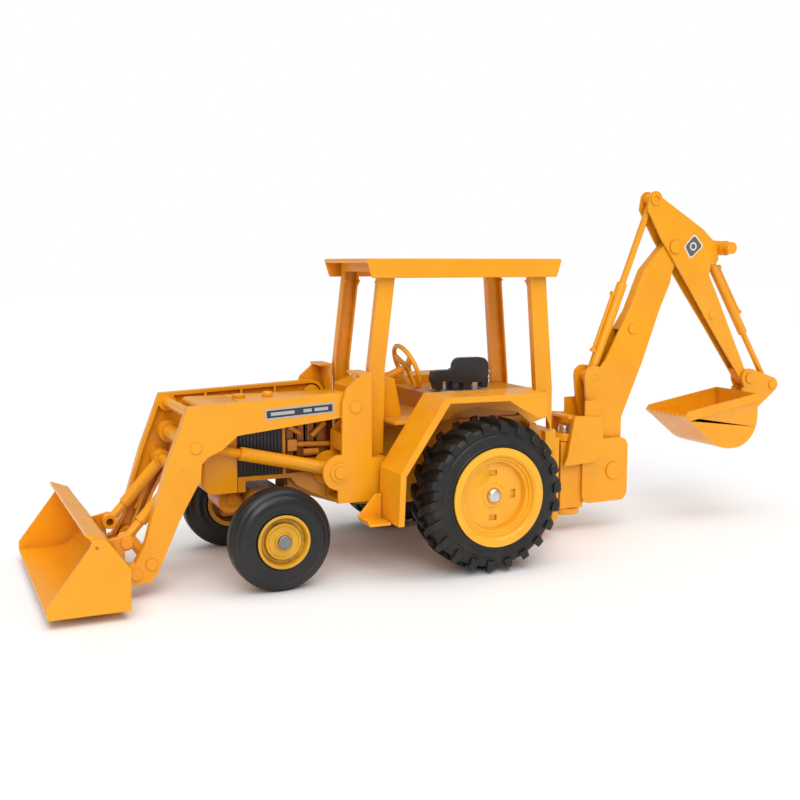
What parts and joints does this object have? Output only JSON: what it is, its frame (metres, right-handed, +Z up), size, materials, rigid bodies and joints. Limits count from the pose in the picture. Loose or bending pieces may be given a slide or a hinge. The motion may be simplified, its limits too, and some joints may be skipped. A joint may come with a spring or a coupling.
{
  "type": "toy backhoe loader",
  "caption": "Die-cast toy backhoe loader with a working front loader, swinging backhoe, canopy and rolling wheels.",
  "frame": {"origin": "on the ground under the middle of the overall length, on the centre line", "axes": "+X forward towards the loader bucket, +Y to the vehicle's left, +Z up"},
  "size_m": [0.5354, 0.162, 0.2326],
  "materials": {
    "paint": "gloss",
    "wheel_plastic": "gloss",
    "steel": "satin",
    "tyre": "satin",
    "seat_plastic": "satin",
    "grille_silver": "satin",
    "grille_black": "satin"
  },
  "bodies": {
    "tractor": {"chassis": "paint", "engine": "paint", "engine_pipes": "paint", "hood": "paint", "hood_caps": "paint", "nose": "paint", "front_grille": "grille_silver", "side_grilles": "grille_black", "cowl": "paint", "steering_column": "paint", "platform": "paint", "fender_left": "paint", "fender_right": "paint", "steps": "paint", "canopy_roof": "paint", "front_hoop": "paint", "rear_hoop": "paint", "tower_left": "paint", "tower_right": "paint", "tower_pins": "paint", "rear_axle": "steel", "backhoe_mount": "paint", "swing_pin": "steel", "seat_post": "paint", "axle_pivot_pin": "steel"},
    "front_axle": {"front_axle": "paint", "front_spindles": "steel"},
    "front_wheel_left": {"front_rim_left": "wheel_plastic", "front_tyre_left": "tyre"},
    "front_wheel_right": {"front_rim_right": "wheel_plastic", "front_tyre_right": "tyre"},
    "rear_wheel_left": {"rear_rim_left": "wheel_plastic", "rear_tyre_left": "tyre"},
    "rear_wheel_right": {"rear_rim_right": "wheel_plastic", "rear_tyre_right": "tyre"},
    "steering_wheel": {"steering_wheel": "wheel_plastic"},
    "seat": {"seat": "seat_plastic"},
    "loader_arms": {"loader_arm_left": "paint", "loader_arm_right": "paint", "cross_tubes": "paint", "arm_rivets": "paint"},
    "lift_rods": {"lift_rods": "paint"},
    "lift_barrels": {"lift_barrel_left": "paint", "lift_barrel_right": "paint"},
    "loader_bucket": {"loader_bucket": "paint", "bucket_brackets": "paint"},
    "tilt_barrels": {"tilt_barrels": "paint"},
    "tilt_rods": {"tilt_rods": "paint"},
    "swing": {"swing_frame": "paint", "boom_foot_pin": "paint"},
    "boom": {"boom": "paint", "boom_pins": "paint"},
    "dipper": {"dipper": "paint", "dipper_pins": "paint"},
    "hoe_bucket": {"hoe_bucket": "paint", "hoe_bucket_rivets": "paint"},
    "crowd_barrel": {"crowd_barrel": "paint"},
    "crowd_rod": {"crowd_rod": "paint"},
    "curl_barrel": {"curl_barrel": "paint"},
    "curl_rod": {"curl_rod": "paint"}
  },
  "joints": [
    {"name": "axle_rock", "type": "hinge", "parent": "tractor", "child": "front_axle", "pos_m": [0.1385, 0, 0.042], "axis": [1, 0, 0], "range_deg": [-6, 6]},
    {"name": "front_wheel_left_spin", "type": "hinge", "parent": "front_axle", "child": "front_wheel_left", "pos_m": [0.1385, 0.055, 0.0294], "axis": [0, 1, 0], "continuous": true},
    {"name": "rear_wheel_left_spin", "type": "hinge", "parent": "tractor", "child": "rear_wheel_left", "pos_m": [0.0115, 0.065, 0.0465], "axis": [0, 1, 0], "continuous": true},
    {"name": "front_wheel_right_spin", "type": "hinge", "parent": "front_axle", "child": "front_wheel_right", "pos_m": [0.1385, -0.055, 0.0294], "axis": [0, 1, 0], "continuous": true},
    {"name": "rear_wheel_right_spin", "type": "hinge", "parent": "tractor", "child": "rear_wheel_right", "pos_m": [0.0115, -0.065, 0.0465], "axis": [0, 1, 0], "continuous": true},
    {"name": "steering_spin", "type": "hinge", "parent": "tractor", "child": "steering_wheel", "pos_m": [0.0343, 0, 0.1177], "axis": [-0.9144, 0, 0.4049], "continuous": true},
    {"name": "seat_swivel", "type": "hinge", "parent": "tractor", "child": "seat", "pos_m": [-0.0002, 0, 0.105], "axis": [0, 0, 1], "continuous": true},
    {"name": "loader_lift", "type": "hinge", "parent": "tractor", "child": "loader_arms", "pos_m": [0.0868, 0, 0.0999], "axis": [0, -1, 0], "range_deg": [-1.5, 42]},
    {"name": "lift_rod_swing", "type": "hinge", "parent": "loader_arms", "child": "lift_rods", "pos_m": [0.181, 0, 0.0815], "axis": [0, 1, 0], "range_deg": [-0.24, 3.96]},
    {"name": "lift_barrel_slide", "type": "slide", "parent": "lift_rods", "child": "lift_barrels", "axis": [-0.9727, 0, -0.2319], "range_m": [-0.0012, 0.02814]},
    {"name": "bucket_tilt", "type": "hinge", "parent": "loader_arms", "child": "loader_bucket", "pos_m": [0.2155, 0, 0.0137], "axis": [0, -1, 0], "range_deg": [-40, 30]},
    {"name": "tilt_barrel_swing", "type": "hinge", "parent": "loader_arms", "child": "tilt_barrels", "pos_m": [0.1863, 0, 0.0658], "axis": [0, 1, 0], "range_deg": [-6.21, 4.68]},
    {"name": "tilt_rod_slide", "type": "slide", "parent": "tilt_barrels", "child": "tilt_rods", "axis": [0.6744, 0, -0.7384], "range_m": [-0.00757, 0.01003]},
    {"name": "backhoe_swing", "type": "hinge", "parent": "tractor", "child": "swing", "pos_m": [-0.085, 0, 0.04], "axis": [0, 0, 1], "range_deg": [-42, 42]},
    {"name": "boom_hinge", "type": "hinge", "parent": "swing", "child": "boom", "pos_m": [-0.1177, 0, 0.0408], "axis": [0, 1, 0], "range_deg": [-50, 5]},
    {"name": "dipper_hinge", "type": "hinge", "parent": "boom", "child": "dipper", "pos_m": [-0.1703, 0, 0.1945], "axis": [0, 1, 0], "range_deg": [-12, 60]},
    {"name": "hoe_bucket_hinge", "type": "hinge", "parent": "dipper", "child": "hoe_bucket", "pos_m": [-0.2416, 0, 0.099], "axis": [0, 1, 0], "range_deg": [-25, 45]},
    {"name": "crowd_barrel_swing", "type": "hinge", "parent": "boom", "child": "crowd_barrel", "pos_m": [-0.1048, 0, 0.105], "axis": [0, 1, 0], "range_deg": [-1.34, 6.3]},
    {"name": "crowd_rod_slide", "type": "slide", "parent": "crowd_barrel", "child": "crowd_rod", "axis": [-0.3674, 0, 0.93], "range_m": [-0.03522, 0.0072]},
    {"name": "curl_barrel_swing", "type": "hinge", "parent": "dipper", "child": "curl_barrel", "pos_m": [-0.205, 0, 0.1865], "axis": [0, 1, 0], "range_deg": [-3.05, 5.41]},
    {"name": "curl_rod_slide", "type": "slide", "parent": "curl_barrel", "child": "curl_rod", "axis": [-0.5286, 0, -0.8489], "range_m": [-0.01411, 0.00793]}
  ],
  "couplings": [
    {"joint": "lift_rod_swing", "follows": "loader_lift", "ratio": 0.091964},
    {"joint": "lift_barrel_slide", "follows": "loader_lift", "m_per_rad": 0.038112},
    {"joint": "tilt_barrel_swing", "follows": "bucket_tilt", "ratio": 0.15281},
    {"joint": "tilt_rod_slide", "follows": "bucket_tilt", "m_per_rad": -0.014074},
    {"joint": "crowd_barrel_swing", "follows": "dipper_hinge", "ratio": 0.10333},
    {"joint": "crowd_rod_slide", "follows": "dipper_hinge", "m_per_rad": -0.033441},
    {"joint": "curl_barrel_swing", "follows": "hoe_bucket_hinge", "ratio": 0.11807},
    {"joint": "curl_rod_slide", "follows": "hoe_bucket_hinge", "m_per_rad": -0.017711}
  ]
}
